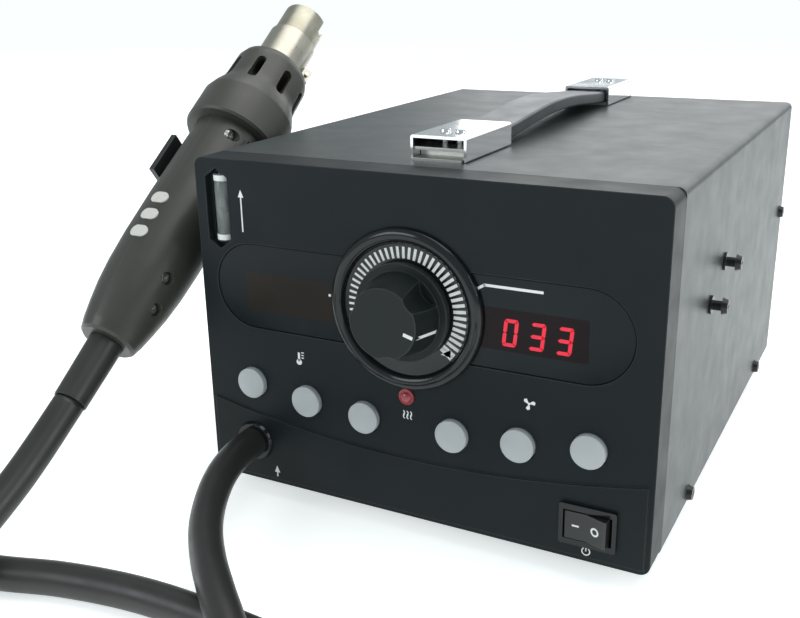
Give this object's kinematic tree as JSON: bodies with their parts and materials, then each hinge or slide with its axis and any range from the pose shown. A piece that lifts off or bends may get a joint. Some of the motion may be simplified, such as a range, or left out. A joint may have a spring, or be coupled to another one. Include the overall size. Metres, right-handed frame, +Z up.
{
  "type": "hot air rework station",
  "caption": "Bench hot air rework station: cabinet with dial, keys and display, carry strap, side rest and a heated air handpiece on a flexible hose.",
  "frame": {"origin": "on the bench, under the middle of the whole object without its hose", "axes": "+Z up, +Y from the front panel to the rear panel, +X to the user's right"},
  "size_m": [0.39, 0.4735, 0.1944],
  "materials": {
    "front_plastic": "satin, fine grain",
    "smoked_lens": "gloss",
    "display_left": "gloss, unlit",
    "display_right": "gloss, lit digits",
    "gloss_black": "gloss",
    "zinc_steel": "zinc plated",
    "knob_black": "satin",
    "switch_black": "matte",
    "lamp_red": "gloss",
    "rocker_black": "satin",
    "gauge_black": "satin",
    "gauge_glass": "clear",
    "float_black": "satin",
    "board_green": "matte",
    "core_steel": "oiled",
    "winding": "varnished",
    "pump_alloy": "cast",
    "inner_tube": "matte",
    "cover_paint": "satin powder coat",
    "screw_black": "black oxide",
    "foot_rubber": "matte",
    "rest_plastic": "satin",
    "cap_chrome": "polished",
    "strap_black": "soft gloss",
    "grip_plastic": "satin",
    "inlay_white": "gloss",
    "pipe_steel": "heat tinted",
    "core_ceramic": "fired ceramic",
    "clamp_steel": "brushed",
    "button_grey": "satin",
    "hose_rubber": "satin"
  },
  "bodies": {
    "station": {"front_panel": "front_plastic", "display_lens": "smoked_lens", "temperature_display": "display_left", "air_display": "display_right", "dial_plate": "gloss_black", "potentiometer": "zinc_steel", "button_switches": "switch_black", "heater_lamp": "lamp_red", "power_switch_body": "gloss_black", "gauge_body": "gauge_black", "gauge_tube": "gauge_glass", "hose_gland": "gloss_black", "display_board": "board_green", "main_board": "board_green", "transformer_core": "core_steel", "transformer_winding": "winding", "pump_body": "pump_alloy", "pump_mounts": "foot_rubber", "air_tube": "inner_tube", "chassis": "cover_paint", "top_cover": "cover_paint", "rear_panel": "cover_paint", "cover_screws": "screw_black", "rear_screws": "screw_black", "foot_front_left": "foot_rubber", "foot_front_right": "foot_rubber", "foot_rear_left": "foot_rubber", "foot_rear_right": "foot_rubber", "foot_screws": "zinc_steel", "mains_inlet": "gloss_black", "rest_screws_and_spares": "screw_black", "handpiece_rest": "rest_plastic", "handle_cap_front": "cap_chrome", "handle_cap_rear": "cap_chrome", "handle_brackets": "zinc_steel", "handle_screws": "cap_chrome", "air_hose": "hose_rubber"},
    "knob": {"knob": "knob_black", "pot_shaft": "zinc_steel"},
    "rocker": {"power_rocker": "rocker_black"},
    "float": {"gauge_float": "float_black"},
    "drawer": {"fuse_drawer": "gauge_black"},
    "armature": {"pump_armature": "core_steel"},
    "strap": {"carry_strap": "strap_black"},
    "handset": {"grip_shell_left": "grip_plastic", "grip_shell_right": "grip_plastic", "grip_screws": "zinc_steel", "grip_inlays": "inlay_white", "nozzle_collar": "grip_plastic", "heater_pipe": "pipe_steel", "heater_core": "core_ceramic", "hose_sleeve": "hose_rubber"},
    "clamp": {"nozzle_clamp": "clamp_steel", "clamp_screw": "zinc_steel"},
    "temp_key_1": {"temp_button_1": "button_grey"},
    "temp_key_2": {"temp_button_2": "button_grey"},
    "temp_key_3": {"temp_button_3": "button_grey"},
    "air_key_1": {"air_button_1": "button_grey"},
    "air_key_2": {"air_button_2": "button_grey"},
    "air_key_3": {"air_button_3": "button_grey"}
  },
  "joints": [
    {"name": "knob_turn", "type": "hinge", "parent": "station", "child": "knob", "pos_m": [0.021, -0.108, 0.092], "axis": [0, -1, 0], "range_deg": [-24, 216]},
    {"name": "temp_key_1_press", "type": "slide", "parent": "station", "child": "temp_key_1", "axis": [0, 1, 0], "range_m": [0, 0.0012], "stiffness_N_per_m": 600, "springref_m": -0.0008},
    {"name": "temp_key_2_press", "type": "slide", "parent": "station", "child": "temp_key_2", "axis": [0, 1, 0], "range_m": [0, 0.0012], "stiffness_N_per_m": 600, "springref_m": -0.0008},
    {"name": "temp_key_3_press", "type": "slide", "parent": "station", "child": "temp_key_3", "axis": [0, 1, 0], "range_m": [0, 0.0012], "stiffness_N_per_m": 600, "springref_m": -0.0008},
    {"name": "air_key_1_press", "type": "slide", "parent": "station", "child": "air_key_1", "axis": [0, 1, 0], "range_m": [0, 0.0012], "stiffness_N_per_m": 600, "springref_m": -0.0008},
    {"name": "air_key_2_press", "type": "slide", "parent": "station", "child": "air_key_2", "axis": [0, 1, 0], "range_m": [0, 0.0012], "stiffness_N_per_m": 600, "springref_m": -0.0008},
    {"name": "air_key_3_press", "type": "slide", "parent": "station", "child": "air_key_3", "axis": [0, 1, 0], "range_m": [0, 0.0012], "stiffness_N_per_m": 600, "springref_m": -0.0008},
    {"name": "rocker_tilt", "type": "hinge", "parent": "station", "child": "rocker", "pos_m": [0.093, -0.0963, 0.0218], "axis": [0, 0, 1], "range_deg": [0, 20]},
    {"name": "float_rise", "type": "slide", "parent": "station", "child": "float", "axis": [0, 0, 1], "range_m": [-0.011, 0.01]},
    {"name": "drawer_pull", "type": "slide", "parent": "station", "child": "drawer", "axis": [0, 1, 0], "range_m": [0, 0.012]},
    {"name": "armature_swing", "type": "slide", "parent": "station", "child": "armature", "axis": [1, 0, 0], "range_m": [-0.001, 0.001], "stiffness_N_per_m": 2000},
    {"name": "strap_lift", "type": "slide", "parent": "station", "child": "strap", "axis": [0, 0, 1], "range_m": [0, 0.0008]},
    {"name": "handset_lift", "type": "hinge", "parent": "station", "child": "handset", "pos_m": [-0.099, -0.14742, 0.05323], "axis": [1, 0, 0], "range_deg": [0, 35], "deforming": ["air_hose"]},
    {"name": "clamp_slide", "type": "slide", "parent": "handset", "child": "clamp", "axis": [0, 0.8007, 0.599], "range_m": [0, 0.03]}
  ]
}
